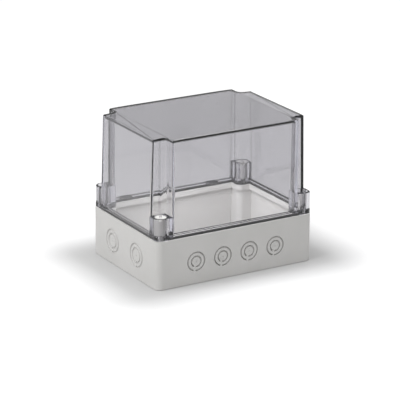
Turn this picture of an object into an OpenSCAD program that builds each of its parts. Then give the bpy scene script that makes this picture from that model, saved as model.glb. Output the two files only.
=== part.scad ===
// Hinged polycarbonate enclosure.
// A light grey base with knockout cable entries carries a tall clear cover that
// swings up on two hinges behind the rear wall. A black gasket runs round the
// joint and keeps inside the corner columns. Two quarter-turn screws at opposite
// corners hold the cover down; the other two columns take the wall screws.
// Millimetres. X runs along the long side, -Y is the front, +Z is up, and the
// origin is the middle of the underside.

/* [Enclosure] */
// Length of the base along X
body_l = 180; // [160:1:260]
// Width of the base along Y
body_w = 130; // [115:1:200]
// Height of the base up to its rim
base_h = 50; // [46:1:90]
// Height of the closed cover above the base's rim
cover_h = 100; // [40:1:160]
// Radius of the upright corners
corner_r = 7; // [5:0.5:8]
// Chamfer round the foot of the base
foot_chamfer = 1; // [0.5:0.1:1.5]

/* [Base] */
// Thickness of the base's side walls
wall_t = 3; // [2.5:0.1:4]
// Thickness of the floor
floor_t = 3; // [2.5:0.1:5]
// Width of the rim that the gasket closes on
rim_t = 6.2; // [5.5:0.1:8]
// Depth of the thick band under the rim
rim_h = 5.4; // [3:0.1:8]

/* [Corner columns] */
// Distance of a column's axis from both outer faces
screw_inset = 8.5; // [8.5:0.1:10]
// Distance from the axis to the column's inner faces
column_reach = 9.6; // [9.4:0.1:11]
// Radius of the column's inner corner
column_r = 6; // [3:0.5:8]
// Step from a column's inner faces out to the rim that crosses it
column_rim = 1.6; // [1:0.1:2.4]
// Diameter of the shaft in a wall-screw column
shaft_d = 9; // [8:0.5:11]
// Thickness of the seat that a wall screw's head pulls on
wall_seat_t = 6; // [4:0.5:12]
// Diameter of the wall-screw hole
wall_hole_d = 5; // [4:0.1:6]

/* [Mounting pillars] */
// Distance between the pillars along X
pillar_pitch_x = 120; // [80:1:126]
// Distance between the pillars along Y
pillar_pitch_y = 80; // [50:1:84]
// Diameter of a pillar
pillar_d = 8; // [7:0.5:12]
// Height of a pillar above the floor
pillar_h = 6; // [4:0.5:12]
// Diameter of the pilot hole for a self-tapping screw
pilot_d = 3.4; // [2.5:0.1:4.2]
// Depth of the pilot hole
pilot_depth = 7; // [4:0.5:8]

/* [Knockouts] */
// Knockouts in each long side
long_count = 4; // [1:1:4]
// Distance between their centres
long_pitch = 30.5; // [24:0.5:34]
// Height of their centres
long_z = 23.3; // [18:0.1:26]
// Outer groove diameter in a long side
long_outer_d = 20.5; // [16:0.5:22]
// Inner groove diameter in a long side
long_inner_d = 12.3; // [8:0.1:13]
// Knockouts in each short side
short_count = 2; // [1:1:2]
// Distance between their centres
short_pitch = 48; // [30:0.5:52]
// Height of their centres
short_z = 24.5; // [20:0.1:26]
// Outer groove diameter in a short side
short_outer_d = 25.5; // [20:0.5:27]
// Inner groove diameter in a short side
short_inner_d = 16.5; // [12:0.5:17.5]
// Width of a groove
groove_w = 1.2; // [0.8:0.1:1.6]
// Depth of a groove
groove_depth = 0.7; // [0.4:0.1:1.2]
// Width of the bridge that stops each groove at its lowest point
bridge_w = 1.8; // [1:0.1:3]
// Diameter of the drill mark in the middle
centre_mark_d = 1.4; // [1:0.1:2]

/* [Cover] */
// Thickness of the cover's walls and roof
cover_t = 2.5; // [2:0.1:3.5]
// Step from the base's face in to the cover's short walls
end_inset = 0.6; // [0.5:0.1:1.5]
// Step from the base's face in to the cover's long walls
side_inset = 1.2; // [0.8:0.1:2]
// Draft of the two short walls, in degrees
end_draft = 1.6; // [0.5:0.1:2.2]
// Draft of the two long walls, in degrees
side_draft = 0.5; // [0.3:0.1:1.5]
// Chamfer round the roof
roof_chamfer = 1.2; // [0.6:0.1:1.8]
// Fall of the roof from its two folds out to the short walls
roof_fall = 0.8; // [0.2:0.1:2]
// Distance from the column axis in to a fold of the roof
fold_reach = 10.6; // [10.4:0.1:14]
// Step from the base's face in to the cover's flange
flange_inset = 0.3; // [0.2:0.1:0.6]
// Height of the flange's top above the base's rim
flange_h = 4.8; // [3.6:0.1:7]
// Open gap between the base's rim and the cover's rim
rim_gap = 0.6; // [0.4:0.1:1]
// Distance from the column axis in to the face that closes a corner recess along X
recess_reach_x = 9.2; // [7.8:0.1:10]
// Distance from the column axis in to the face that closes a corner recess along Y
recess_reach_y = 6.9; // [6.7:0.1:10]
// Radius in the inner corner of a recess
recess_r = 5.5; // [3:0.5:7]
// Height of a screw boss above the base's rim
boss_h = 23; // [16:0.5:30]
// Step from the base's face in to a screw boss
boss_inset = 0.6; // [0.4:0.1:1]
// Bevel round the top of a screw boss
boss_bevel = 1.4; // [0.6:0.1:2]
// Diameter of the shaft down a screw boss
boss_bore_d = 12.4; // [11.6:0.1:13]
// Height of the ledge that carries a screw head, above the base's rim
ledge_h = 5; // [4:0.1:7]
// Diameter of the hole through the ledge
ledge_hole_d = 4.6; // [4.4:0.1:6]

/* [Gasket] */
// Step from the base's face in to the gasket
gasket_inset = 2.1; // [1.8:0.1:2.4]
// Width of the gasket
gasket_w = 2.4; // [1.8:0.1:2.8]
// Height of the gasket
gasket_h = 2.6; // [2:0.1:3]
// Distance from the column axis to the gasket's near side
gasket_reach = 7; // [6.8:0.1:7.2]
// Radius of the gasket's near side round a column
gasket_r = 4.6; // [3:0.1:6]
// Space left between the gasket and the rim it closes on
gasket_gap = 0.1; // [0.05:0.05:0.2]

/* [Cover screws] */
// Diameter of a screw's head
head_d = 11.2; // [9:0.1:11.4]
// Depth of the head's top below the boss's top
head_sink = 0.4; // [0:0.1:2]
// Width of the driver slot
slot_w = 2.8; // [1.6:0.1:3.4]
// Depth of the driver slot
slot_depth = 2.4; // [1.6:0.1:6]
// Direction of the driver slot when the screw is released, in degrees from X
slot_angle = 60; // [0:5:175]
// Diameter of a screw's shank
shank_d = 4; // [3.6:0.1:4.2]
// Diameter of the cross pin
cross_pin_d = 2; // [1.6:0.1:2.2]
// Length of the cross pin
cross_pin_l = 9.2; // [8.8:0.1:9.4]
// Length of shank below the cross pin
shank_tail = 0.6; // [0.4:0.1:1]

/* [Screw sockets] */
// Outer diameter of a socket
socket_d = 12.4; // [12:0.1:12.6]
// Height of a socket
socket_h = 13; // [10:0.5:20]
// Thickness of the slotted plate that the cross pin turns under
socket_plate_t = 1.8; // [1.2:0.1:2.2]
// Diameter of the turning space under the plate
socket_bore_d = 10.6; // [10.4:0.1:10.8]
// Width of the slot in the plate
socket_slot_w = 7; // [6.8:0.1:7.2]
// Space between the cross pin and what it passes or turns under
pin_gap = 0.3; // [0.2:0.05:0.5]
// Depth of the socket's top below the base's rim
socket_sink = 0.2; // [0.1:0.1:0.5]

/* [Hinges] */
// Distance between the two hinges
hinge_pitch = 100; // [70:1:110]
// Overall width of a hinge
hinge_w = 22; // [18:1:30]
// Width of each lug on the base
lug_w = 5; // [4:0.5:6]
// Side gap between a lug and the cover's knuckle
knuckle_gap = 0.3; // [0.2:0.05:0.5]
// Radius of the lugs and knuckles
knuckle_r = 3; // [2.6:0.1:3.2]
// Distance of the hinge axis behind the base's rear face
hinge_back = 4.6; // [4.4:0.1:6]
// Distance of the hinge axis below the base's rim
hinge_drop = 5.2; // [5:0.1:5.6]
// Diameter of a hinge pin
hinge_pin_d = 3; // [2.5:0.1:3.2]
// Radial clearance between a hinge pin and the cover's knuckle
hinge_fit = 0.06; // [0.03:0.01:0.1]
// Step from the flange's top down to the arm of a knuckle
arm_drop = 1.6; // [1:0.1:2]

/* [Hidden] */
$fn = 64;
eps = 0.5;
overlap = 0.01;

grey = [0.80, 0.80, 0.79];
clear = [0.70, 0.71, 0.74, 0.35];
white = [0.90, 0.90, 0.88];
black = [0.06, 0.06, 0.06];
steel = [0.72, 0.73, 0.75];

front_left = [-1, -1];
front_right = [1, -1];
rear_left = [-1, 1];
rear_right = [1, 1];
screw_corners = [front_left, rear_right];
wall_corners = [front_right, rear_left];

axis_x = body_l / 2 - screw_inset;
axis_y = body_w / 2 - screw_inset;

cover_rim_z = base_h + rim_gap;
cover_top_z = base_h + cover_h;
flange_z = base_h + flange_h;
ledge_z = base_h + ledge_h;
boss_z = base_h + boss_h;
rim_reach = column_reach + column_rim;
fold_x = axis_x - fold_reach;

gasket_z = base_h + gasket_gap;
gasket_top_z = gasket_z + gasket_h;

socket_top_z = base_h - socket_sink;
socket_z = socket_top_z - socket_h;
plate_under_z = socket_top_z - socket_plate_t;
cross_pin_z = plate_under_z - pin_gap - cross_pin_d / 2;
shank_end_z = cross_pin_z - cross_pin_d / 2 - shank_tail;
head_top_z = boss_z - head_sink;

hinge_y = body_w / 2 + hinge_back;
hinge_z = base_h - hinge_drop;
knuckle_w = hinge_w - 2 * lug_w - 2 * knuckle_gap;
arm_top = flange_z - hinge_z - arm_drop;
arm_under = cover_rim_z - hinge_z;

// Half length and half width of the cover's outside at height z
function cover_half_x(z) = body_l / 2 - end_inset - (z - base_h) * tan(end_draft);
function cover_half_y(z) = body_w / 2 - side_inset - (z - base_h) * tan(side_draft);

// Outline of the base, moved in all round
module outline(inset) {
    l = body_l - 2 * inset;
    w = body_w - 2 * inset;
    r = max(corner_r - inset, 1);
    square([l, w - 2 * r], center = true);
    square([l - 2 * r, w], center = true);
    for (sx = [-1, 1], sy = [-1, 1])
        translate([sx * (l / 2 - r), sy * (w / 2 - r)])
            circle(r);
}

// Puts its children on a column's axis, with +X and +Y pointing out of the corner
module at_corner(corner) {
    translate([corner[0] * axis_x, corner[1] * axis_y, 0])
        mirror([corner[0] < 0 ? 1 : 0, 0, 0])
            mirror([0, corner[1] < 0 ? 1 : 0, 0])
                children();
}

// Puts its children on a column's axis without turning them
module on_axis(corner) {
    translate([corner[0] * axis_x, corner[1] * axis_y, 0])
        children();
}

// Plan of one corner: from past the outer faces in to two reaches beyond the axis
module corner_plan(reach_x, reach_y, r) {
    out = screw_inset + 2 * eps;
    translate([r - reach_x, -reach_y])
        square([reach_x - r + out, reach_y + out]);
    translate([-reach_x, r - reach_y])
        square([reach_x + out, reach_y - r + out]);
    translate([r - reach_x, r - reach_y])
        circle(r);
}

// Outline that keeps inside the four corner columns
module inner_plan(inset, reach, r) {
    difference() {
        outline(inset);
        for (sx = [-1, 1], sy = [-1, 1])
            at_corner([sx, sy])
                corner_plan(reach, reach, r);
    }
}

// Profile of the cover above height z0: half its width low and high, and the roof's points
function cover_profile(z0, low, high, shoulder, chamfer, roof) = concat(
    [[low, z0], [high, shoulder - chamfer], [high - chamfer, shoulder]], roof,
    [[chamfer - high, shoulder], [-high, shoulder - chamfer], [-low, z0]]);

// The cover as a solid block from height z0 up, moved in all round
module cover_block(z0, inset, chamfer) {
    top = cover_top_z - inset;
    end = top - roof_fall;
    intersection() {
        rotate([90, 0, 0])
            linear_extrude(height = body_w, center = true)
                polygon(cover_profile(z0, cover_half_x(z0) - inset, cover_half_x(end) - inset,
                                      end, chamfer, [[fold_x, top], [-fold_x, top]]));
        rotate([90, 0, 90])
            linear_extrude(height = body_l, center = true)
                polygon(cover_profile(z0, cover_half_y(z0) - inset, cover_half_y(top) - inset,
                                      top, chamfer, []));
    }
}

// ---- base ----

// Chamfer cut along the foot of the base
module foot_cut() {
    c = foot_chamfer;
    r = corner_r;
    straight = [[-c, -eps], [eps, -eps], [eps, c + eps], [0, c], [-c, 0]];
    for (side = [-1, 1]) {
        translate([0, side * body_w / 2, 0])
            rotate([90, 0, side * 90])
                linear_extrude(height = body_l - 2 * r, center = true)
                    polygon(straight);
        translate([side * body_l / 2, 0, 0])
            rotate([90, 0, side > 0 ? 0 : 180])
                linear_extrude(height = body_w - 2 * r, center = true)
                    polygon(straight);
    }
    for (sx = [-1, 1], sy = [-1, 1])
        translate([sx * (body_l / 2 - r), sy * (body_w / 2 - r), 0])
            intersection() {
                rotate_extrude()
                    translate([r, 0])
                        polygon(straight);
                translate([sx > 0 ? 0 : -2 * r, sy > 0 ? 0 : -2 * r, -eps])
                    cube([2 * r, 2 * r, c + 2 * eps]);
            }
}

// One round groove with its bridge left standing at the bottom
module ring_groove(d) {
    difference() {
        cylinder(d = d, h = groove_depth + eps);
        translate([0, 0, -eps])
            cylinder(d = d - 2 * groove_w, h = groove_depth + 3 * eps);
        translate([-bridge_w / 2, -d, -eps])
            cube([bridge_w, d, groove_depth + 3 * eps]);
    }
}

// A knockout's cut, standing on the wall's face with +Z out of the wall
module knockout_cut(outer_d, inner_d) {
    translate([0, 0, -groove_depth]) {
        ring_groove(outer_d);
        ring_groove(inner_d);
        cylinder(d = centre_mark_d, h = groove_depth + eps);
    }
}

module knockouts() {
    for (i = [0 : long_count - 1], side = [0, 180])
        rotate([0, 0, side])
            translate([(i - (long_count - 1) / 2) * long_pitch, -body_w / 2, long_z])
                rotate([90, 0, 0])
                    knockout_cut(long_outer_d, long_inner_d);
    for (i = [0 : short_count - 1], side = [-90, 90])
        rotate([0, 0, side])
            translate([(i - (short_count - 1) / 2) * short_pitch, -body_l / 2, short_z])
                rotate([90, 0, 0])
                    knockout_cut(short_outer_d, short_inner_d);
}

module base_shell() {
    difference() {
        linear_extrude(height = base_h)
            outline(0);
        translate([0, 0, floor_t])
            linear_extrude(height = base_h - floor_t - rim_h)
                inner_plan(wall_t, column_reach, column_r);
        translate([0, 0, base_h - rim_h - overlap])
            linear_extrude(height = rim_h + eps)
                inner_plan(rim_t, rim_reach, column_r);
    }
}

module pillars() {
    for (sx = [-1, 1], sy = [-1, 1])
        translate([sx * pillar_pitch_x / 2, sy * pillar_pitch_y / 2, floor_t - eps])
            cylinder(d = pillar_d, h = pillar_h + eps);
}

module pilot_holes() {
    for (sx = [-1, 1], sy = [-1, 1])
        translate([sx * pillar_pitch_x / 2, sy * pillar_pitch_y / 2,
                   floor_t + pillar_h - pilot_depth])
            cylinder(d = pilot_d, h = pilot_depth + eps);
}

// Places a profile drawn in Y and Z about the hinge axis, between two X values
module hinge_profile(x0, x1) {
    translate([x0, hinge_y, hinge_z])
        rotate([90, 0, 90])
            linear_extrude(height = x1 - x0)
                children();
}

module hinge_lugs() {
    in = hinge_back + eps;
    for (h = [-1, 1], side = [-1, 1]) {
        middle = h * hinge_pitch / 2 + side * (hinge_w - lug_w) / 2;
        hinge_profile(middle - lug_w / 2, middle + lug_w / 2) {
            circle(knuckle_r);
            polygon([[-in, knuckle_r], [0, knuckle_r], [0, -knuckle_r],
                     [-in, -knuckle_r - hinge_back]]);
        }
    }
}

module base() {
    color(grey)
        difference() {
            union() {
                base_shell();
                pillars();
                hinge_lugs();
            }
            foot_cut();
            knockouts();
            pilot_holes();
            for (corner = screw_corners)
                on_axis(corner)
                    translate([0, 0, socket_z])
                        cylinder(d = socket_d, h = base_h);
            for (corner = wall_corners)
                on_axis(corner) {
                    translate([0, 0, wall_seat_t])
                        cylinder(d = shaft_d, h = base_h);
                    translate([0, 0, -eps])
                        cylinder(d = wall_hole_d, h = base_h);
                }
            hinge_profile(-body_l / 2, body_l / 2)
                circle(d = hinge_pin_d);
        }
}

// ---- cover ----

module cover_hood() {
    difference() {
        cover_block(cover_rim_z, 0, roof_chamfer);
        for (sx = [-1, 1], sy = [-1, 1])
            at_corner([sx, sy])
                translate([0, 0, base_h])
                    linear_extrude(height = cover_h + eps)
                        corner_plan(recess_reach_x, recess_reach_y, recess_r);
    }
}

module cover_hollow() {
    difference() {
        cover_block(base_h, cover_t, roof_chamfer / 2);
        for (sx = [-1, 1], sy = [-1, 1])
            at_corner([sx, sy])
                translate([0, 0, base_h - eps])
                    linear_extrude(height = cover_h)
                        corner_plan(recess_reach_x + cover_t, recess_reach_y + cover_t,
                                    recess_r + cover_t);
    }
}

module cover_flange() {
    translate([0, 0, cover_rim_z])
        linear_extrude(height = flange_z - cover_rim_z)
            difference() {
                outline(flange_inset);
                inner_plan(rim_t, rim_reach, column_r);
            }
}

// A boss fills its recess from the cover's rim up, with a bevelled top
module cover_bosses() {
    l = body_l - 2 * boss_inset;
    w = body_w - 2 * boss_inset;
    for (sx = [-1, 1], sy = [-1, 1])
        intersection() {
            at_corner([sx, sy])
                translate([0, 0, cover_rim_z])
                    linear_extrude(height = boss_z - cover_rim_z)
                        corner_plan(recess_reach_x + cover_t / 2, recess_reach_y + cover_t / 2,
                                    recess_r);
            union() {
                translate([0, 0, cover_rim_z])
                    linear_extrude(height = boss_z - boss_bevel - cover_rim_z)
                        outline(boss_inset);
                translate([0, 0, boss_z - boss_bevel])
                    linear_extrude(height = boss_bevel, slices = 1,
                                   scale = [1 - 2 * boss_bevel / l, 1 - 2 * boss_bevel / w])
                        outline(boss_inset, $fn = 32);
            }
        }
}

module cover_knuckles() {
    back = hinge_back + flange_inset + 2 * eps;
    for (h = [-1, 1])
        hinge_profile(h * hinge_pitch / 2 - knuckle_w / 2, h * hinge_pitch / 2 + knuckle_w / 2) {
            circle(knuckle_r);
            polygon([[-knuckle_r, 0], [-knuckle_r, arm_under], [-back, arm_under],
                     [-back, arm_top], [-knuckle_r, arm_top], [knuckle_r, arm_top - 2 * knuckle_r],
                     [knuckle_r, 0]]);
        }
}

module gasket_ring(slack) {
    difference() {
        inner_plan(gasket_inset - slack, gasket_reach - slack, gasket_r);
        inner_plan(gasket_inset + gasket_w + slack, gasket_reach + gasket_w + slack,
                   gasket_r + gasket_w);
    }
}

module cover() {
    color(clear)
        difference() {
            union() {
                difference() {
                    cover_hood();
                    cover_hollow();
                }
                cover_flange();
                cover_bosses();
                cover_knuckles();
            }
            translate([0, 0, cover_rim_z - eps])
                linear_extrude(height = gasket_top_z - cover_rim_z + eps)
                    gasket_ring(0);
            for (sx = [-1, 1], sy = [-1, 1])
                on_axis([sx, sy]) {
                    translate([0, 0, ledge_z])
                        cylinder(d = boss_bore_d, h = boss_h);
                    translate([0, 0, base_h])
                        cylinder(d = ledge_hole_d, h = boss_h);
                }
            hinge_profile(-body_l / 2, body_l / 2)
                circle(d = hinge_pin_d + 2 * hinge_fit);
        }
}

module gasket() {
    color(black)
        translate([0, 0, gasket_z])
            linear_extrude(height = gasket_h)
                gasket_ring(0);
}

// ---- quarter-turn screws ----

module cover_screw(corner) {
    color(white)
        on_axis(corner)
            difference() {
                union() {
                    translate([0, 0, ledge_z])
                        cylinder(d = head_d, h = head_top_z - ledge_z);
                    translate([0, 0, shank_end_z])
                        cylinder(d = shank_d, h = ledge_z - shank_end_z + eps);
                }
                translate([0, 0, head_top_z - slot_depth / 2 + eps / 2])
                    rotate([0, 0, slot_angle])
                        cube([head_d + 2 * eps, slot_w, slot_depth + eps], center = true);
                translate([0, 0, cross_pin_z])
                    rotate([0, 90, 0])
                        cylinder(d = cross_pin_d, h = cross_pin_l, center = true);
            }
}

module cross_pin(corner) {
    color(steel)
        on_axis(corner)
            translate([0, 0, cross_pin_z])
                rotate([0, 90, 0])
                    cylinder(d = cross_pin_d, h = cross_pin_l, center = true);
}

module screw_socket(corner) {
    slot_l = cross_pin_l + 2 * pin_gap;
    color(white)
        on_axis(corner)
            difference() {
                translate([0, 0, socket_z])
                    cylinder(d = socket_d, h = socket_h);
                translate([0, 0, socket_z + socket_plate_t])
                    cylinder(d = socket_bore_d, h = socket_h - 2 * socket_plate_t);
                intersection() {
                    translate([-slot_l / 2, -socket_slot_w / 2, socket_z + 2 * socket_plate_t])
                        cube([slot_l, socket_slot_w, socket_h]);
                    translate([0, 0, socket_z])
                        cylinder(d = socket_bore_d, h = 2 * socket_h);
                }
            }
}

// ---- hinge pins ----

module hinge_pin(side) {
    color(steel)
        hinge_profile(side * hinge_pitch / 2 - hinge_w / 2, side * hinge_pitch / 2 + hinge_w / 2)
            circle(d = hinge_pin_d);
}

base();
cover();
gasket();
cover_screw(front_left);  // cover_screw_front_left
cover_screw(rear_right);  // cover_screw_rear_right
cross_pin(front_left);  // cross_pin_front_left
cross_pin(rear_right);  // cross_pin_rear_right
screw_socket(front_left);  // screw_socket_front_left
screw_socket(rear_right);  // screw_socket_rear_right
hinge_pin(-1);  // hinge_pin_left
hinge_pin(1);  // hinge_pin_right
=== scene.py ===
# A hinged polycarbonate enclosure: grey base with knockouts, tall clear cover,
# black gasket, two quarter-turn screws. Metres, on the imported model's frame.
import bpy
import bmesh
import math
from mathutils import Euler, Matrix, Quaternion, Vector


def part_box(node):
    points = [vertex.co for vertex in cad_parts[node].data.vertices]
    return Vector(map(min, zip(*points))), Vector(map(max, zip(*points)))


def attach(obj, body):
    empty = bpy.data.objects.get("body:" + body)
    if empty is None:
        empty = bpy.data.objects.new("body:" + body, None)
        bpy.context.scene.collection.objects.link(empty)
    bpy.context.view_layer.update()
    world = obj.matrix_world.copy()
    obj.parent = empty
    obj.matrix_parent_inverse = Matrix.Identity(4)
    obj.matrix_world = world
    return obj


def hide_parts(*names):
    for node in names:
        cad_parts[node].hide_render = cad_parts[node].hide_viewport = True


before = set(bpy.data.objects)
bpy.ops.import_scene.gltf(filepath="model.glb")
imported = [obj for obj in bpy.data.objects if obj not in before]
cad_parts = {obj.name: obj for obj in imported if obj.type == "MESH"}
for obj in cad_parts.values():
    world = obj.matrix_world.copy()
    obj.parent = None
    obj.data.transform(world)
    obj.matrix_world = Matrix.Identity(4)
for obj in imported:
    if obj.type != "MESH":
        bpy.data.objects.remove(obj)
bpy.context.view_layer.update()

mm = 0.001
baseLow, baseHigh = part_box("base")
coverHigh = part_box("cover")[1]
gasketLow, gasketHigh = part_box("gasket")
halfX, halfY = baseHigh.x, -baseLow.y  # the hinges stand behind the rear face, so Y comes from the front
rimZ, topZ = baseHigh.z, coverHigh.z
corners = {"front_left": (-1, -1), "front_right": (1, -1), "rear_left": (-1, 1), "rear_right": (1, 1)}
screwCorners = ("front_left", "rear_right")
wallCorners = ("front_right", "rear_left")
columnX, columnY = halfX - 8.5 * mm, halfY - 8.5 * mm  # axes of the four corner columns


def clearSelection():
    if bpy.context.object and bpy.context.object.mode != "OBJECT":
        bpy.ops.object.mode_set(mode="OBJECT")
    bpy.ops.object.select_all(action="DESELECT")


def named(name):
    # the new primitive, with its place moved into its mesh
    obj = bpy.context.object
    obj.name = obj.data.name = name
    bpy.ops.object.transform_apply(location=True, rotation=True, scale=True)
    return obj


def addBlock(name, low, high):
    clearSelection()
    low, high = Vector(low), Vector(high)
    bpy.ops.mesh.primitive_cube_add(size=1, location=(low + high) / 2, scale=high - low)
    return named(name)


def addRod(name, radius, low, high, sides=64, turn=(0, 0, 0)):
    # a cylinder from the point low to the point high, which lie along its axis
    clearSelection()
    low, high = Vector(low), Vector(high)
    bpy.ops.mesh.primitive_cylinder_add(vertices=sides, radius=radius, depth=(high - low).length,
                                        location=(low + high) / 2, rotation=turn)
    return named(name)


def openEdges(obj, test):
    # edit mode, with the edges selected whose two ends pass the test
    clearSelection()
    obj.select_set(True)
    bpy.context.view_layer.objects.active = obj
    bpy.ops.object.mode_set(mode="EDIT")
    bpy.ops.mesh.select_mode(type="EDGE")
    bpy.ops.mesh.select_all(action="DESELECT")
    mesh = bmesh.from_edit_mesh(obj.data)
    for edge in mesh.edges:
        if test(edge.verts[0].co, edge.verts[1].co):
            edge.select_set(True)
    bmesh.update_edit_mesh(obj.data)


def roundEdges(obj, test, width, segments=3):
    openEdges(obj, test)
    bpy.ops.mesh.bevel(offset=width, segments=segments, affect="EDGES")
    bpy.ops.object.mode_set(mode="OBJECT")


def upright(a, b):
    return abs(a.z - b.z) > max(1 * mm, 0.95 * (a - b).length)


def flatAt(z):
    return lambda a, b: abs(a.z - z) < 0.01 * mm and abs(b.z - z) < 0.01 * mm


def scaleTop(obj, z, factorX, factorY):
    # draws the face at height z in, for the draft of a moulded wall
    openEdges(obj, flatAt(z))
    bpy.ops.transform.resize(value=(factorX, factorY, 1), center_override=(0, 0, z))
    bpy.ops.object.mode_set(mode="OBJECT")


def applyModifier(obj, kind, **values):
    clearSelection()
    obj.select_set(True)
    bpy.context.view_layer.objects.active = obj
    modifier = obj.modifiers.new(kind, kind)
    for key, value in values.items():
        setattr(modifier, key, value)
    bpy.ops.object.modifier_apply(modifier=modifier.name)


def carve(obj, tool, operation="DIFFERENCE"):
    applyModifier(obj, "BOOLEAN", object=tool, operation=operation, solver="EXACT")
    bpy.data.objects.remove(tool, do_unlink=True)


def mergeFlats(obj):
    # joins doubled points and the flat faces that a union left in strips
    clearSelection()
    obj.select_set(True)
    bpy.context.view_layer.objects.active = obj
    bpy.ops.object.mode_set(mode="EDIT")
    bpy.ops.mesh.select_all(action="SELECT")
    bpy.ops.mesh.remove_doubles(threshold=0.01 * mm)
    bpy.ops.mesh.dissolve_limited(angle_limit=math.radians(1))
    bpy.ops.object.mode_set(mode="OBJECT")


def joinPieces(objs):
    clearSelection()
    for obj in objs:
        obj.select_set(True)
    bpy.context.view_layer.objects.active = objs[0]
    bpy.ops.object.join()
    return objs[0]


def copyPiece(obj, name, move=(0, 0, 0), turn=0, mirror=(1, 1, 1)):
    # a copy with its own mesh, turned about Z and moved
    clearSelection()
    twin = obj.copy()
    twin.data = obj.data.copy()
    twin.name = twin.data.name = name
    bpy.context.collection.objects.link(twin)
    twin.select_set(True)
    bpy.context.view_layer.objects.active = twin
    twin.rotation_euler = (0, 0, turn)
    twin.location = move
    twin.scale = mirror
    bpy.ops.object.transform_apply(location=True, rotation=True, scale=True)
    if mirror != (1, 1, 1):
        bpy.ops.object.mode_set(mode="EDIT")
        bpy.ops.mesh.select_all(action="SELECT")
        bpy.ops.mesh.normals_make_consistent(inside=False)
        bpy.ops.object.mode_set(mode="OBJECT")
    return twin


def cornerTool(name, reachX, reachY, radius, z0, z1):
    # four blocks in one mesh, from past the outer corners in to two reaches beyond each column's axis
    tools = []
    for label, (sx, sy) in corners.items():
        x, y = sx * (columnX - reachX), sy * (columnY - reachY)
        far = 12 * mm
        low = (min(x, sx * (columnX + far)), min(y, sy * (columnY + far)), z0)
        high = (max(x, sx * (columnX + far)), max(y, sy * (columnY + far)), z1)
        block = addBlock(name + label, low, high)
        roundEdges(block, lambda a, b: upright(a, b) and abs(a.x - x) < 0.1 * mm and abs(a.y - y) < 0.1 * mm,
                   radius, 8)
        tools.append(block)
    return joinPieces(tools)


def smooth(obj, angle=34):
    # rounded edges shade round, and the large flat faces keep their own normals
    clearSelection()
    obj.select_set(True)
    bpy.context.view_layer.objects.active = obj
    bpy.ops.object.shade_smooth_by_angle(angle=math.radians(angle))
    applyModifier(obj, "WEIGHTED_NORMAL", keep_sharp=True)


def finishPiece(obj, body, node, material):
    smooth(obj)
    obj.data.materials.clear()
    obj.data.materials.append(material)
    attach(obj, body)
    if node:
        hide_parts(node)


def newMaterial(name):
    material = bpy.data.materials.new(name)
    material.use_nodes = True
    nodes, links = material.node_tree.nodes, material.node_tree.links
    return material, nodes, links, nodes["Principled BSDF"]


def addNoise(nodes, links, scale, detail=3, roughness=0.5):
    place = nodes.new("ShaderNodeTexCoord")
    noise = nodes.new("ShaderNodeTexNoise")
    noise.inputs["Scale"].default_value = scale
    noise.inputs["Detail"].default_value = detail
    noise.inputs["Roughness"].default_value = roughness
    links.new(place.outputs["Object"], noise.inputs["Vector"])
    return noise


def addRamp(nodes, links, source, low, high, start=0.3, end=0.7):
    ramp = nodes.new("ShaderNodeValToRGB")
    ramp.color_ramp.elements[0].position = start
    ramp.color_ramp.elements[1].position = end
    ramp.color_ramp.elements[0].color = (*low, 1)
    ramp.color_ramp.elements[1].color = (*high, 1)
    links.new(source, ramp.inputs["Fac"])
    return ramp


def addBump(nodes, links, shader, height, strength, distance):
    bump = nodes.new("ShaderNodeBump")
    bump.inputs["Strength"].default_value = strength
    bump.inputs["Distance"].default_value = distance
    links.new(height, bump.inputs["Height"])
    links.new(bump.outputs["Normal"], shader.inputs["Normal"])
    return bump


def mouldedPlastic(name, low, high, roughLow, roughHigh, grain=2600, bump=0.25):
    # a moulded surface: cloudy colour, fine spark-eroded grain, gloss that varies a little
    material, nodes, links, shader = newMaterial(name)
    cloud = addNoise(nodes, links, 28, 4)
    colour = addRamp(nodes, links, cloud.outputs["Fac"], low, high)
    links.new(colour.outputs["Color"], shader.inputs["Base Color"])
    fine = addNoise(nodes, links, grain, 2)
    gloss = addRamp(nodes, links, fine.outputs["Fac"], (roughLow,) * 3, (roughHigh,) * 3)
    links.new(gloss.outputs["Color"], shader.inputs["Roughness"])
    addBump(nodes, links, shader, fine.outputs["Fac"], bump, 0.00005)
    shader.inputs["IOR"].default_value = 1.55
    return material


def clearPlastic(name, tint, roughness, shade, depthTint, density):
    # glass-like plastic, darker along its edges, and see-through to shadow rays so that the inside is lit
    material, nodes, links, shader = newMaterial(name)
    shader.inputs["Base Color"].default_value = (*tint, 1)
    shader.inputs["Transmission Weight"].default_value = 1
    shader.inputs["IOR"].default_value = 1.585
    shader.inputs["Roughness"].default_value = roughness
    path = nodes.new("ShaderNodeLightPath")
    lit = nodes.new("ShaderNodeBsdfTransparent")
    lit.inputs["Color"].default_value = (*shade, 1)
    mix = nodes.new("ShaderNodeMixShader")
    output = nodes["Material Output"]
    links.new(path.outputs["Is Shadow Ray"], mix.inputs["Fac"])
    links.new(shader.outputs["BSDF"], mix.inputs[1])
    links.new(lit.outputs["BSDF"], mix.inputs[2])
    links.new(mix.outputs["Shader"], output.inputs["Surface"])
    soak = nodes.new("ShaderNodeVolumeAbsorption")
    soak.inputs["Color"].default_value = (*depthTint, 1)
    soak.inputs["Density"].default_value = density
    links.new(soak.outputs["Volume"], output.inputs["Volume"])
    return material


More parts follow.
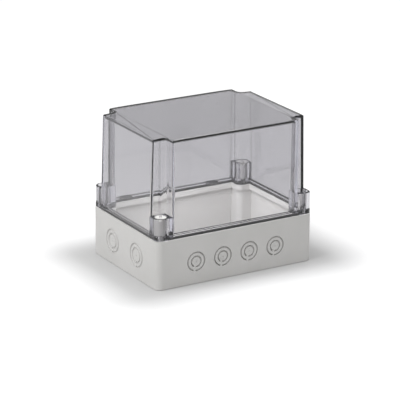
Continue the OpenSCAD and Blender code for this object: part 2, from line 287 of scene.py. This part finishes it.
greyPlastic = mouldedPlastic("grey_polycarbonate", (0.605, 0.60, 0.585), (0.64, 0.632, 0.62), 0.38, 0.48)
clearCover = clearPlastic("clear_polycarbonate", (0.67, 0.665, 0.68), 0, (0.95, 0.95, 0.95),
                          (0.1, 0.1, 0.35), 12)
whitePlastic = mouldedPlastic("white_polyamide", (0.72, 0.715, 0.69), (0.78, 0.775, 0.75), 0.35, 0.45)
blackRubber = mouldedPlastic("black_rubber", (0.018, 0.018, 0.019), (0.03, 0.03, 0.03), 0.5, 0.65, 1500, 0.4)
steel, steelNodes, steelLinks, steelShader = newMaterial("stainless_steel")
steelShader.inputs["Base Color"].default_value = (0.62, 0.62, 0.63, 1)
steelShader.inputs["Metallic"].default_value = 1
steelGrain = addNoise(steelNodes, steelLinks, 900, 4)
steelGloss = addRamp(steelNodes, steelLinks, steelGrain.outputs["Fac"], (0.25,) * 3, (0.4,) * 3)
steelLinks.new(steelGloss.outputs["Color"], steelShader.inputs["Roughness"])
print("materials ready")


base = {
    "corner": 7 * mm, "foot": 1 * mm, "lip": 0.45 * mm,
    "wall": 3 * mm, "floor": 3 * mm, "floorFillet": 1.2 * mm,
    "rimWidth": 6.2 * mm, "rimDepth": 5.4 * mm,
    "columnReach": 9.6 * mm, "rimReach": 11.2 * mm, "columnRound": 6 * mm,
    "socket": 12.4 * mm, "socketDepth": 13.2 * mm,
    "shaft": 9 * mm, "seat": 6 * mm, "screwHole": 5 * mm,
    "pillarX": 120 * mm, "pillarY": 80 * mm, "pillar": 8 * mm, "pillarHeight": 6 * mm,
    "pilot": 3.4 * mm, "pilotDepth": 7 * mm,
}


def baseBody():
    b = base
    body = addBlock("base_shell", (-halfX, -halfY, 0), (halfX, halfY, rimZ))
    roundEdges(body, upright, b["corner"], 12)
    roundEdges(body, flatAt(0), b["foot"], 2)
    roundEdges(body, flatAt(rimZ), b["lip"], 2)
    rimUnder = rimZ - b["rimDepth"]
    inX, inY = halfX - b["wall"], halfY - b["wall"]
    hollow = addBlock("hollow", (-inX, -inY, b["floor"]), (inX, inY, rimUnder))
    carve(hollow, cornerTool("column", b["columnReach"], b["columnReach"], b["columnRound"], -1 * mm, rimZ + 1 * mm))
    roundEdges(hollow, flatAt(b["floor"]), b["floorFillet"], 3)
    inX, inY = halfX - b["rimWidth"], halfY - b["rimWidth"]
    mouth = addBlock("mouth", (-inX, -inY, rimUnder - 0.4 * mm), (inX, inY, rimZ + 2 * mm))
    carve(mouth, cornerTool("rim", b["rimReach"], b["rimReach"], b["columnRound"], 0, rimZ + 4 * mm))
    carve(body, hollow)
    carve(body, mouth)
    return body


def addPillars(body):
    b = base
    for sx in (-1, 1):
        for sy in (-1, 1):
            x, y = sx * b["pillarX"] / 2, sy * b["pillarY"] / 2
            top = b["floor"] + b["pillarHeight"]
            pillar = addRod("pillar", b["pillar"] / 2, (x, y, b["floor"] - 1 * mm), (x, y, top), 48)
            roundEdges(pillar, flatAt(top), 0.4 * mm, 2)
            carve(body, pillar, "UNION")
            carve(body, addRod("pilot", b["pilot"] / 2, (x, y, top - b["pilotDepth"]), (x, y, top + mm), 32))


def addShafts(body):
    b = base
    for label in screwCorners:
        x, y = corners[label][0] * columnX, corners[label][1] * columnY
        carve(body, addRod("socketBore", b["socket"] / 2, (x, y, rimZ - b["socketDepth"]), (x, y, rimZ + mm)))
    for label in wallCorners:
        x, y = corners[label][0] * columnX, corners[label][1] * columnY
        carve(body, addRod("shaft", b["shaft"] / 2, (x, y, b["seat"]), (x, y, rimZ + mm), 48))
        carve(body, addRod("screwHole", b["screwHole"] / 2, (x, y, -mm), (x, y, b["seat"] + mm), 32))


knockout = {
    "longCount": 4, "longPitch": 30.5 * mm, "longHeight": 23.3 * mm, "longRings": (20.5 * mm, 12.3 * mm),
    "shortCount": 2, "shortPitch": 48 * mm, "shortHeight": 24.5 * mm, "shortRings": (25.5 * mm, 16.5 * mm),
    "longGroove": (1.6 * mm, 2.3 * mm), "shortGroove": (2 * mm, 1.4 * mm),
    "bridge": 1.8 * mm, "mark": 1.4 * mm, "markDepth": 0.7 * mm,
}


def ringGroove(diameter, width, depth):
    # a rounded groove about the Y axis, cut into a face at Y = 0 and open at the bottom for its bridge
    radius = (diameter - width) / 2
    half = knockout["bridge"] / 2 / radius
    clearSelection()
    bpy.ops.mesh.primitive_circle_add(vertices=12, radius=width / 2, fill_type="NGON",
                                      location=(0, 0, -radius), rotation=(0, math.pi / 2, 0))
    groove = named("groove")
    clearSelection()
    groove.select_set(True)
    bpy.context.view_layer.objects.active = groove
    bpy.ops.object.mode_set(mode="EDIT")
    bpy.ops.mesh.select_all(action="SELECT")
    bpy.ops.transform.resize(value=(1, 2 * depth / width, 1), center_override=(0, 0, -radius))
    bpy.ops.transform.rotate(value=-half, orient_axis="Y", center_override=(0, 0, 0))
    bpy.ops.mesh.spin(steps=56, angle=2 * math.pi - 2 * half, center=(0, 0, 0), axis=(0, 1, 0), dupli=False)
    bpy.ops.mesh.select_all(action="SELECT")
    bpy.ops.mesh.normals_make_consistent(inside=False)
    bpy.ops.object.mode_set(mode="OBJECT")
    return groove


def knockoutTool(rings, groove):
    k = knockout
    parts = [ringGroove(diameter, *groove) for diameter in rings]
    parts.append(addRod("mark", k["mark"] / 2, (0, -mm, 0), (0, k["markDepth"], 0), 24, (math.pi / 2, 0, 0)))
    return joinPieces(parts)


def addKnockouts(body):
    k = knockout
    sides = (
        (k["longRings"], k["longGroove"], k["longCount"], k["longPitch"], k["longHeight"], halfY,
         (0, math.pi)),
        (k["shortRings"], k["shortGroove"], k["shortCount"], k["shortPitch"], k["shortHeight"], halfX,
         (math.pi / 2, -math.pi / 2)),
    )
    for rings, groove, count, pitch, height, out, turns in sides:
        pattern = knockoutTool(rings, groove)
        copies = []
        for turn in turns:
            for i in range(count):
                along = (i - (count - 1) / 2) * pitch
                place = Vector((along, -out, height))
                place.rotate(Euler((0, 0, turn)))
                copies.append(copyPiece(pattern, "knockout", place, turn))
        bpy.data.objects.remove(pattern, do_unlink=True)
        carve(body, joinPieces(copies))


hinge = {
    "pitch": 100 * mm, "width": 22 * mm, "lug": 5 * mm, "gap": 0.3 * mm, "radius": 3 * mm,
    "back": 4.6 * mm, "drop": 5.2 * mm, "pin": 3 * mm, "pinSlack": 0.06 * mm, "edge": 0.35 * mm,
    "armDrop": 1.6 * mm, "armInside": 1.2 * mm,
}
hingeY, hingeZ = halfY + hinge["back"], rimZ - hinge["drop"]
alongX = (0, math.pi / 2, 0)


def addLugs(body):
    h = hinge
    for side in (-1, 1):
        for end in (-1, 1):
            middle = side * h["pitch"] / 2 + end * (h["width"] - h["lug"]) / 2
            x0, x1 = middle - h["lug"] / 2, middle + h["lug"] / 2
            r, inside = h["radius"], 0.5 * mm
            web = addBlock("web", (x0, halfY - inside, hingeZ - r), (x1, hingeY, hingeZ + r))
            openEdges(web, lambda a, b: a.y < halfY and b.y < halfY and a.z < hingeZ and b.z < hingeZ)
            bpy.ops.transform.translate(value=(0, 0, -h["back"]))
            bpy.ops.object.mode_set(mode="OBJECT")
            carve(web, addRod("eye", r, (x0, hingeY, hingeZ), (x1, hingeY, hingeZ), 48, alongX), "UNION")
            mergeFlats(web)
            applyModifier(web, "BEVEL", width=h["edge"], segments=2, limit_method="ANGLE",
                          angle_limit=math.radians(50))
            carve(body, web, "UNION")
        x0, x1 = side * h["pitch"] / 2 - h["width"], side * h["pitch"] / 2 + h["width"]
        carve(body, addRod("eyeBore", h["pin"] / 2, (x0, hingeY, hingeZ), (x1, hingeY, hingeZ), 32, alongX))


baseShell = baseBody()
addPillars(baseShell)
addShafts(baseShell)
addKnockouts(baseShell)
addLugs(baseShell)
finishPiece(baseShell, "base", "base", greyPlastic)
print("base ready")


cover = {
    "wall": 2.5 * mm, "endInset": 0.6 * mm, "sideInset": 1.2 * mm,
    "endDraft": math.radians(1.6), "sideDraft": math.radians(0.5), "fall": 0.8 * mm, "fold": 10.6 * mm,
    "roofRound": 1.4 * mm, "innerRound": 1.2 * mm, "cusp": 0.8 * mm, "innerCusp": 1 * mm,
    "rimGap": 0.6 * mm, "flange": 4.8 * mm, "flangeInset": 0.3 * mm, "flangeRound": 0.7 * mm,
    "flangeFoot": 0.25 * mm, "hoodStart": 1.4 * mm, "bossStart": 0.9 * mm,
    "recessX": 9.2 * mm, "recessY": 6.9 * mm, "recessRound": 5.5 * mm,
    "boss": 23 * mm, "bossInset": 0.6 * mm, "bossRound": 1.4 * mm, "bore": 12.4 * mm, "boreEdge": 0.4 * mm,
    "ledge": 5 * mm, "ledgeHole": 4.6 * mm,
    "grooveInset": 2.1 * mm, "grooveWidth": 2.4 * mm, "grooveReach": 7 * mm, "grooveRound": 4.6 * mm,
    "grooveTop": 2.7 * mm, "grooveSlack": -0.03 * mm,
}
coverRim, flangeZ = rimZ + cover["rimGap"], rimZ + cover["flange"]


def hoodX(z):
    return halfX - cover["endInset"] - (z - rimZ) * math.tan(cover["endDraft"])


def hoodY(z):
    return halfY - cover["sideInset"] - (z - rimZ) * math.tan(cover["sideDraft"])


def draftedBlock(name, z0, z1, inset):
    x0, y0 = hoodX(z0) - inset, hoodY(z0) - inset
    block = addBlock(name, (-x0, -y0, z0), (x0, y0, z1))
    scaleTop(block, z1, (hoodX(z1) - inset) / x0, (hoodY(z1) - inset) / y0)
    return block


def cuspAt(reachX, reachY, inset):
    # the upright edges where a corner recess meets an outer wall
    near = 0.3 * mm

    def test(a, b):
        if not upright(a, b):
            return False
        x, y, z = (abs(a.x), abs(a.y), a.z)
        onSide = abs(y - hoodY(z) + inset) < near and abs(x - columnX + reachX) < near
        onEnd = abs(x - hoodX(z) + inset) < near and abs(y - columnY + reachY) < near
        return onSide or onEnd
    return test


def foldRoof(block, top, inset):
    # lets the two ends of the roof fall from their folds out to the short walls
    fold = columnX - cover["fold"]
    end = hoodX(top - cover["fall"]) - inset
    far = halfX + 5 * mm
    for side in (-1, 1):
        wedge = addBlock("wedge", (min(side * fold, side * far), -halfY - mm, top),
                         (max(side * fold, side * far), halfY + mm, top + 4 * mm))
        openEdges(wedge, lambda a, b: min(abs(a.x), abs(b.x)) > fold + mm and max(a.z, b.z) < top + mm)
        bpy.ops.transform.translate(value=(0, 0, -cover["fall"] * (far - fold) / (end - fold)))
        bpy.ops.object.mode_set(mode="OBJECT")
        carve(block, wedge)


def roofEdge(top, inset):
    # the edges round the folded roof, without the two folds
    fold = columnX - cover["fold"]
    slope = cover["fall"] / (hoodX(top - cover["fall"]) - inset - fold)

    def onRoof(p):
        return abs(p.z - top + max(0, abs(p.x) - fold) * slope) < 0.03 * mm

    def test(a, b):
        isFold = abs(abs(a.x) - fold) < 0.05 * mm and abs(abs(b.x) - fold) < 0.05 * mm
        return onRoof(a) and onRoof(b) and not isFold
    return test


def coverHood():
    c = cover
    hood = draftedBlock("clear_cover", coverRim + c["hoodStart"], topZ, 0)
    foldRoof(hood, topZ, 0)
    carve(hood, cornerTool("recess", c["recessX"], c["recessY"], c["recessRound"], 0, topZ + 5 * mm))
    roundEdges(hood, cuspAt(c["recessX"], c["recessY"], 0), c["cusp"], 4)
    roundEdges(hood, roofEdge(topZ, 0), c["roofRound"], 3)
    roof = topZ - c["wall"]
    hollow = draftedBlock("hollow", rimZ, roof, c["wall"])
    foldRoof(hollow, roof, c["wall"])
    innerX, innerY = c["recessX"] + c["wall"], c["recessY"] + c["wall"]
    carve(hollow, cornerTool("recess", innerX, innerY, c["recessRound"] + c["wall"], 0, topZ + 5 * mm))
    roundEdges(hollow, cuspAt(innerX, innerY, c["wall"]), c["innerCusp"], 3)
    roundEdges(hollow, roofEdge(roof, c["wall"]), c["innerRound"], 3)
    carve(hood, hollow)
    return hood


def innerPlan(name, inset, reach, radius, z0, z1):
    # the outline that keeps inside the four columns
    block = addBlock(name, (inset - halfX, inset - halfY, z0), (halfX - inset, halfY - inset, z1))
    carve(block, cornerTool(name, reach, reach, radius, z0 - mm, z1 + mm))
    return block


def coverFlange():
    c = cover
    x, y = halfX - c["flangeInset"], halfY - c["flangeInset"]
    flange = addBlock("flange", (-x, -y, coverRim), (x, y, flangeZ))
    roundEdges(flange, upright, base["corner"] - c["flangeInset"], 12)
    roundEdges(flange, flatAt(flangeZ), c["flangeRound"], 3)
    roundEdges(flange, flatAt(coverRim), c["flangeFoot"], 2)
    carve(flange, innerPlan("mouth", base["rimWidth"], base["rimReach"], base["columnRound"],
                            coverRim - mm, flangeZ + mm))
    return flange


def coverBoss(label):
    c = cover
    sx, sy = corners[label]
    reachX, reachY = c["recessX"] + c["wall"] / 2, c["recessY"] + c["wall"] / 2
    z0, z1 = coverRim + c["bossStart"], rimZ + c["boss"]
    inX, inY = sx * (columnX - reachX), sy * (columnY - reachY)
    outX, outY = sx * (halfX - c["bossInset"]), sy * (halfY - c["bossInset"])
    boss = addBlock("boss", (min(inX, outX), min(inY, outY), z0), (max(inX, outX), max(inY, outY), z1))
    roundEdges(boss, lambda a, b: upright(a, b) and abs(a.x - outX) < 0.1 * mm and abs(a.y - outY) < 0.1 * mm,
               base["corner"] - c["bossInset"], 10)

    def openTop(a, b):
        inside = (abs(a.x - inX) < 0.1 * mm and abs(b.x - inX) < 0.1 * mm
                  or abs(a.y - inY) < 0.1 * mm and abs(b.y - inY) < 0.1 * mm)
        return flatAt(z1)(a, b) and not inside
    roundEdges(boss, openTop, c["bossRound"], 4)
    return boss


def coverKnuckle(side):
    h = hinge
    half = (h["width"] - 2 * h["lug"] - 2 * h["gap"]) / 2
    x0, x1 = side * h["pitch"] / 2 - half, side * h["pitch"] / 2 + half
    r = h["radius"]
    armTop = flangeZ - h["armDrop"]
    knuckle = addBlock("knuckle", (x0, hingeY - r, hingeZ), (x1, hingeY + r, armTop))
    roundEdges(knuckle, lambda a, b: min(a.y, b.y) > hingeY and min(a.z, b.z) > armTop - mm, 2 * r - 0.1 * mm, 8)
    carve(knuckle, addRod("eye", r, (x0, hingeY, hingeZ), (x1, hingeY, hingeZ), 48, alongX), "UNION")
    carve(knuckle, addBlock("arm", (x0, halfY - h["armInside"], coverRim + 0.1 * mm), (x1, hingeY, armTop)), "UNION")
    mergeFlats(knuckle)
    applyModifier(knuckle, "BEVEL", width=h["edge"], segments=2, limit_method="ANGLE",
                  angle_limit=math.radians(50))
    return knuckle


def gasketRing(name, slack, z0, z1):
    c = cover
    inset, reach = c["grooveInset"], c["grooveReach"]
    ring = innerPlan(name, inset - slack, reach - slack, c["grooveRound"], z0, z1)
    thick = c["grooveWidth"] + slack
    carve(ring, innerPlan("inside", inset + thick, reach + thick, c["grooveRound"] + c["grooveWidth"],
                          z0 - mm, z1 + mm))
    return ring


def boreBoss(hood, label):
    # the screw's bore down to its ledge, a smaller hole on through the ledge, and a bevelled mouth
    c = cover
    x, y = corners[label][0] * columnX, corners[label][1] * columnY
    ledge, top = rimZ + c["ledge"], rimZ + c["boss"]
    mouth, edge = c["bore"] / 2, c["boreEdge"]
    carve(hood, addRod("bore", mouth, (x, y, ledge), (x, y, top + mm)))
    carve(hood, addRod("ledgeHole", c["ledgeHole"] / 2, (x, y, rimZ), (x, y, ledge + mm), 32))
    clearSelection()
    bpy.ops.mesh.primitive_cone_add(vertices=64, radius1=mouth, radius2=mouth + 2 * edge, depth=2 * edge,
                                    location=(x, y, top))
    carve(hood, named("boreMouth"))


def boreKnuckle(hood, side):
    h = hinge
    x0, x1 = side * h["pitch"] / 2 - h["width"] / 2, side * h["pitch"] / 2 + h["width"] / 2
    carve(hood, addRod("eyeBore", h["pin"] / 2 + h["pinSlack"], (x0, hingeY, hingeZ), (x1, hingeY, hingeZ),
                       32, alongX))


clearHood = coverHood()
carve(clearHood, coverFlange(), "UNION")
for label in corners:
    carve(clearHood, coverBoss(label), "UNION")
for side in (-1, 1):
    carve(clearHood, coverKnuckle(side), "UNION")
carve(clearHood, gasketRing("groove", cover["grooveSlack"], coverRim - mm, rimZ + cover["grooveTop"]))
for label in corners:
    boreBoss(clearHood, label)
for side in (-1, 1):
    boreKnuckle(clearHood, side)
finishPiece(clearHood, "cover", "cover", clearCover)
print("cover ready")


gasketRound = 0.5 * mm
seal = gasketRing("rubber_gasket", 0, gasketLow.z, gasketHigh.z)
roundEdges(seal, flatAt(gasketLow.z), gasketRound, 3)
roundEdges(seal, flatAt(gasketHigh.z), gasketRound, 3)
finishPiece(seal, "cover", "gasket", blackRubber)
print("gasket ready")


screw = {
    "head": 11.2 * mm, "headRound": 0.6 * mm, "slotWidth": 2.8 * mm, "slotDepth": 2.4 * mm, "slotTurn": 60,
    "shank": 4 * mm, "pin": 2 * mm, "pinLength": 9.2 * mm,
    "socket": 12.4 * mm, "socketPlate": 1.8 * mm, "socketBore": 10.6 * mm, "slot": (9.8 * mm, 7 * mm),
}


def quarterTurnScrew(label):
    s = screw
    sx, sy = corners[label]
    x, y = sx * columnX, sy * columnY
    low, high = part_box("cover_screw_" + label)
    under = rimZ + cover["ledge"]
    head = addRod("slotted_screw_" + label, s["head"] / 2, (x, y, under), (x, y, high.z))
    roundEdges(head, flatAt(high.z), s["headRound"], 3)
    roundEdges(head, flatAt(under), s["headRound"] / 2, 2)
    shank = addRod("shank", s["shank"] / 2, (x, y, low.z), (x, y, under + mm), 32)
    roundEdges(shank, flatAt(low.z), 0.4 * mm, 2)
    carve(head, shank, "UNION")
    slot = addBlock("slot", (-s["head"], -s["slotWidth"] / 2, high.z - s["slotDepth"]),
                    (s["head"], s["slotWidth"] / 2, high.z + mm))
    carve(head, copyPiece(slot, "slotTurned", (x, y, 0), math.radians(s["slotTurn"])))
    bpy.data.objects.remove(slot, do_unlink=True)
    pinLow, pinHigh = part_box("cross_pin_" + label)
    pinZ = (pinLow.z + pinHigh.z) / 2
    carve(head, addRod("pinBore", s["pin"] / 2, (pinLow.x, y, pinZ), (pinHigh.x, y, pinZ), 24, alongX))
    finishPiece(head, "screw_" + label, "cover_screw_" + label, whitePlastic)
    pin = addRod("steel_pin_" + label, s["pin"] / 2 - 0.02 * mm, (pinLow.x, y, pinZ), (pinHigh.x, y, pinZ), 32,
                 alongX)
    applyModifier(pin, "BEVEL", width=0.25 * mm, segments=2, limit_method="ANGLE", angle_limit=math.radians(50))
    finishPiece(pin, "screw_" + label, "cross_pin_" + label, steel)


def screwSocket(label):
    s = screw
    sx, sy = corners[label]
    x, y = sx * columnX, sy * columnY
    low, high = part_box("screw_socket_" + label)
    socket = addRod("slotted_socket_" + label, s["socket"] / 2 - 0.02 * mm, (x, y, low.z), (x, y, high.z))
    roundEdges(socket, flatAt(high.z), 0.3 * mm, 2)
    plate = s["socketPlate"]
    carve(socket, addRod("bore", s["socketBore"] / 2, (x, y, low.z + plate), (x, y, high.z - plate)))
    width, depth = s["slot"]
    slot = addBlock("slot", (x - width / 2, y - depth / 2, high.z - 2 * plate),
                    (x + width / 2, y + depth / 2, high.z + mm))
    keep = addRod("keep", s["socketBore"] / 2, (x, y, low.z), (x, y, high.z + 2 * mm))
    carve(slot, keep, "INTERSECT")
    carve(socket, slot)
    finishPiece(socket, "base", "screw_socket_" + label, whitePlastic)


for label in screwCorners:
    quarterTurnScrew(label)
    screwSocket(label)
print("screws ready")


for side, name in ((-1, "left"), (1, "right")):
    low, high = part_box("hinge_pin_" + name)
    pin = addRod("steel_hinge_pin_" + name, hinge["pin"] / 2 - 0.02 * mm, (low.x, hingeY, hingeZ),
                 (high.x, hingeY, hingeZ), 48, alongX)
    applyModifier(pin, "BEVEL", width=0.3 * mm, segments=2, limit_method="ANGLE", angle_limit=math.radians(50))
    finishPiece(pin, "base", "hinge_pin_" + name, steel)
print("hinge pins ready")


studio = {
    # the floor's glow is lowest next to the base, a painted shadow there on top of the real one
    "floorColour": 0.6, "paintedShadowGlow": 0.05, "glowFar": 0.57, "paintedShadowReach": 100 * mm, "mirrored": 0.35,
    "backdrop": 1.0, "ceiling": 0.35, "fill": 0.71,
    "keyPower": 5.6, "keySize": 0.7, "keyFrom": (-1.0, -0.1, 0.8),
    "insidePower": 0.3, "insideSize": 0.1, "insideFrom": (0, 0, 0.14),
}


def awayFromBase(nodes, links):
    # how far a point of the floor lies outside the base, with the front nearer than it is, which sets the spread of
    # the painted shadow
    source = nodes.new("ShaderNodeTexCoord").outputs["Object"]
    for operation, other in (("ABSOLUTE", None), ("SUBTRACT", (halfX, halfY - 12 * mm, 0)),
                             ("MAXIMUM", (0, 0, 0)), ("LENGTH", None)):
        step = nodes.new("ShaderNodeVectorMath")
        step.operation = operation
        if other:
            step.inputs[1].default_value = other
        links.new(source, step.inputs[0])
        source = step.outputs["Value" if operation == "LENGTH" else "Vector"]
    return source


def backgroundRays(nodes, links, mirrored):
    # 1 for the rays that see the background itself, and a share of it for mirrored ones
    path = nodes.new("ShaderNodeLightPath")
    glossy = nodes.new("ShaderNodeMath")
    glossy.operation = "MULTIPLY"
    glossy.inputs[1].default_value = mirrored
    links.new(path.outputs["Is Glossy Ray"], glossy.inputs[0])
    total = path.outputs["Is Camera Ray"]
    for ray in (glossy.outputs[0], path.outputs["Is Transmission Ray"]):
        seen = nodes.new("ShaderNodeMath")
        seen.operation = "MAXIMUM"
        links.new(total, seen.inputs[0])
        links.new(ray, seen.inputs[1])
        total = seen.outputs[0]
    return path, total


def stageFloor():
    # the floor glows less near the base: a painted soft shadow round the base, on top of the real shadow that its
    # diffuse light keeps
    clearSelection()
    bpy.ops.mesh.primitive_plane_add(size=6, location=(0, 0, -0.0002))
    floor = named("floor")
    material, nodes, links, shader = newMaterial("floor")
    shader.inputs["Base Color"].default_value = (*(studio["floorColour"],) * 3, 1)
    shader.inputs["Roughness"].default_value = 0.9
    shader.inputs["Emission Color"].default_value = (1, 1, 1, 1)
    glow = nodes.new("ShaderNodeMath")
    glow.operation = "MULTIPLY"
    # painted shadow: the floor's glow rises from its low value at the base to its full value out at the reach
    reach = nodes.new("ShaderNodeMapRange")
    reach.interpolation_type = "SMOOTHSTEP"
    reach.inputs["From Min"].default_value = 0
    reach.inputs["From Max"].default_value = studio["paintedShadowReach"]
    reach.inputs["To Min"].default_value = studio["paintedShadowGlow"]
    reach.inputs["To Max"].default_value = studio["glowFar"]
    links.new(awayFromBase(nodes, links), reach.inputs["Value"])
    links.new(reach.outputs[0], glow.inputs[1])
    links.new(backgroundRays(nodes, links, studio["mirrored"])[1], glow.inputs[0])
    links.new(glow.outputs[0], shader.inputs["Emission Strength"])
    floor.data.materials.append(material)


def stageWorld():
    # an even fill for the object, under a background that is white to the eye and dims overhead in glass
    world = bpy.data.worlds.new("studio")
    bpy.context.scene.world = world
    world.use_nodes = True
    nodes, links = world.node_tree.nodes, world.node_tree.links
    nodes.clear()
    path, total = backgroundRays(nodes, links, 1)
    white = nodes.new("ShaderNodeBackground")
    fill = nodes.new("ShaderNodeBackground")
    fill.inputs["Strength"].default_value = studio["fill"]
    for background in (white, fill):
        background.inputs["Color"].default_value = (1, 1, 1, 1)
    mix = nodes.new("ShaderNodeMixShader")
    output = nodes.new("ShaderNodeOutputWorld")
    place = nodes.new("ShaderNodeTexCoord")
    parts = nodes.new("ShaderNodeSeparateXYZ")
    height = nodes.new("ShaderNodeMapRange")
    height.inputs["From Min"].default_value = 0.08
    height.inputs["From Max"].default_value = 0.3
    height.inputs["To Min"].default_value = studio["backdrop"]
    height.inputs["To Max"].default_value = studio["ceiling"]
    tall = nodes.new("ShaderNodeMix")
    tall.inputs["B"].default_value = studio["backdrop"]
    links.new(place.outputs["Generated"], parts.inputs[0])
    links.new(parts.outputs["Z"], height.inputs["Value"])
    links.new(path.outputs["Is Camera Ray"], tall.inputs["Factor"])
    links.new(height.outputs[0], tall.inputs["A"])
    links.new(tall.outputs["Result"], white.inputs["Strength"])
    links.new(total, mix.inputs["Fac"])
    links.new(fill.outputs[0], mix.inputs[1])
    links.new(white.outputs[0], mix.inputs[2])
    links.new(mix.outputs[0], output.inputs["Surface"])


def softLamp(name, power, size, place, target=(0, 0, 0.06)):
    clearSelection()
    bpy.ops.object.light_add(type="AREA", location=place)
    lamp = bpy.context.object
    lamp.name = name
    lamp.data.energy = power
    lamp.data.size = size
    lamp.rotation_euler = (Vector(target) - Vector(place)).to_track_quat("-Z", "Y").to_euler()
    return lamp


view = {"azimuth": math.radians(-31.19), "elevation": math.radians(18.84), "roll": math.radians(0.6),
        "lens": 202.2, "target": (-0.00293, 0, 0.06023), "distance": 2.2563}


def stageCamera():
    az, el = view["azimuth"], view["elevation"]
    back = Vector((math.sin(az) * math.cos(el), -math.cos(az) * math.cos(el), math.sin(el)))
    clearSelection()
    bpy.ops.object.camera_add(location=Vector(view["target"]) + back * view["distance"])
    camera = bpy.context.object
    camera.data.lens = view["lens"]
    camera.data.sensor_width = 36
    camera.rotation_mode = "QUATERNION"
    camera.rotation_quaternion = (-back).to_track_quat("-Z", "Y") @ Quaternion((0, 0, 1), view["roll"])
    camera.data.clip_end = 20
    bpy.context.scene.camera = camera


stageFloor()
stageWorld()
softLamp("key", studio["keyPower"], studio["keySize"], studio["keyFrom"])
inside = softLamp("inside", studio["insidePower"], studio["insideSize"], studio["insideFrom"], (0, 0.001, 0))
inside.visible_camera = inside.visible_glossy = inside.visible_transmission = False
stageCamera()
bpy.context.scene.view_settings.view_transform = "Standard"
print("studio ready")
